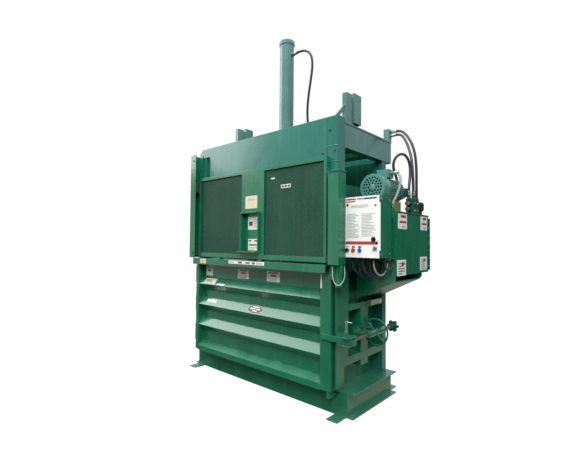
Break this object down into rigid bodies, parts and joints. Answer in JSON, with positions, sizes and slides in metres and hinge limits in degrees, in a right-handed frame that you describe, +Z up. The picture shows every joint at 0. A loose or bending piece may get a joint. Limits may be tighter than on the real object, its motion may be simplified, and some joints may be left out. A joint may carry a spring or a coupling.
{
  "type": "recycling baler",
  "caption": "Vertical hydraulic baler for cardboard and film: top ram, lifting mesh feed gate, ribbed bale door with screw latch, side power unit and control box.",
  "frame": {"origin": "centre of the four floor anchor holes, on the floor", "axes": "+Z up, -Y out of the loading side, +X towards the power unit on the operator's right"},
  "size_m": [2.554, 1.154, 3.79],
  "materials": {
    "green_enamel": "gloss enamel",
    "dark_paint": "gloss enamel, oily",
    "expanded_mesh": "painted expanded sheet",
    "white_face": "satin white",
    "chrome_rod": "polished, hard chromed",
    "bare_steel": "bare, lightly tarnished",
    "zinc_plate": "bright zinc plate",
    "nylon_shoe": "off-white nylon",
    "black_plastic": "black",
    "red_plastic": "red",
    "blue_plastic": "blue",
    "hose_rubber": "smooth hose cover"
  },
  "bodies": {
    "frame": {"base_frame": "green_enamel", "deck_plate": "green_enamel", "column_front_right": "green_enamel", "column_front_left": "green_enamel", "column_rear_right": "green_enamel", "column_rear_left": "green_enamel", "post_upper_right": "green_enamel", "post_upper_left": "green_enamel", "side_wall_right": "green_enamel", "side_wall_left": "green_enamel", "rear_wall": "green_enamel", "jamb_right": "green_enamel", "header_front": "green_enamel", "header_side_right": "green_enamel", "header_side_left": "green_enamel", "header_rear": "green_enamel", "lift_brackets": "green_enamel", "cylinder_barrel": "green_enamel", "crown_beams": "green_enamel", "gate_guide_right": "green_enamel", "gate_guide_left": "green_enamel", "feed_sill": "green_enamel", "hinge_jamb": "green_enamel", "latch_yoke": "green_enamel", "tank_bracket": "green_enamel", "tank_shell": "green_enamel", "tank_covers": "green_enamel", "filler_breather": "black_plastic", "motor_riser": "green_enamel", "motor_housing": "green_enamel", "fan_shroud": "green_enamel", "pump_group": "dark_paint", "control_box": "green_enamel", "hose_cylinder": "hose_rubber", "hose_pressure": "hose_rubber", "hose_return": "hose_rubber", "hose_suction": "hose_rubber", "motor_conduit": "hose_rubber"},
    "platen": {"platen": "green_enamel", "ram_rod": "chrome_rod"},
    "gate": {"gate_frame": "green_enamel", "gate_mesh": "expanded_mesh", "gate_handle": "green_enamel", "gate_shoes": "nylon_shoe"},
    "door": {"door_skin": "green_enamel", "door_ribs": "green_enamel", "latch_lug": "green_enamel", "hinge_pins": "green_enamel"},
    "handwheel": {"latch_handwheel": "green_enamel"},
    "screw": {"latch_screw": "bare_steel", "latch_clevis": "green_enamel"},
    "knob": {"lock_knob": "black_plastic"},
    "pin": {"drop_pin": "zinc_plate"},
    "rotor": {"motor_rotor": "bare_steel"},
    "cover": {"control_cover": "white_face"},
    "btn_black": {"button_black": "black_plastic"},
    "btn_red": {"button_red": "red_plastic"},
    "btn_blue": {"button_blue": "blue_plastic"},
    "selector": {"selector_switch": "black_plastic"},
    "key": {"key_switch": "zinc_plate"}
  },
  "joints": [
    {"name": "platen_slide", "type": "slide", "parent": "frame", "child": "platen", "axis": [0, 0, -1], "range_m": [0, 1.15]},
    {"name": "gate_slide", "type": "slide", "parent": "frame", "child": "gate", "axis": [0, 0, 1], "range_m": [0, 0.69]},
    {"name": "door_hinge", "type": "hinge", "parent": "frame", "child": "door", "pos_m": [-1.012, -0.483, 0.76], "axis": [0, 0, -1], "range_deg": [0, 120]},
    {"name": "wheel_turn", "type": "hinge", "parent": "frame", "child": "handwheel", "pos_m": [1.157, -0.065, 0.685], "axis": [0, 1, 0], "range_deg": [0, 1440]},
    {"name": "screw_slide", "type": "slide", "parent": "frame", "child": "screw", "axis": [0, -1, 0], "range_m": [0, 0.048]},
    {"name": "knob_turn", "type": "hinge", "parent": "screw", "child": "knob", "pos_m": [1.157, 0.275, 0.685], "axis": [0, 1, 0], "continuous": true},
    {"name": "pin_drop", "type": "slide", "parent": "screw", "child": "pin", "axis": [0, 0, -1], "range_m": [0, 0.07]},
    {"name": "rotor_spin", "type": "hinge", "parent": "frame", "child": "rotor", "pos_m": [1.209, 0.03, 1.98], "axis": [0, 1, 0], "continuous": true},
    {"name": "cover_hinge", "type": "hinge", "parent": "frame", "child": "cover", "pos_m": [1.418, -0.4773, 1.621], "axis": [0, 0, 1], "range_deg": [0, 110]},
    {"name": "btn_black_push", "type": "slide", "parent": "cover", "child": "btn_black", "axis": [0, 1, 0], "range_m": [0, 0.005], "stiffness_N_per_m": 400, "springref_m": -0.002},
    {"name": "btn_red_push", "type": "slide", "parent": "cover", "child": "btn_red", "axis": [0, 1, 0], "range_m": [0, 0.005], "stiffness_N_per_m": 400, "springref_m": -0.002},
    {"name": "btn_blue_push", "type": "slide", "parent": "cover", "child": "btn_blue", "axis": [0, 1, 0], "range_m": [0, 0.005], "stiffness_N_per_m": 400, "springref_m": -0.002},
    {"name": "selector_turn", "type": "hinge", "parent": "cover", "child": "selector", "pos_m": [1.361, -0.48, 1.52], "axis": [0, 1, 0], "range_deg": [-45, 45]},
    {"name": "key_turn", "type": "hinge", "parent": "cover", "child": "key", "pos_m": [1.375, -0.48, 1.448], "axis": [0, 1, 0], "range_deg": [0, 90]}
  ],
  "couplings": [
    {"joint": "screw_slide", "follows": "wheel_turn", "m_per_rad": 0.0019099}
  ]
}
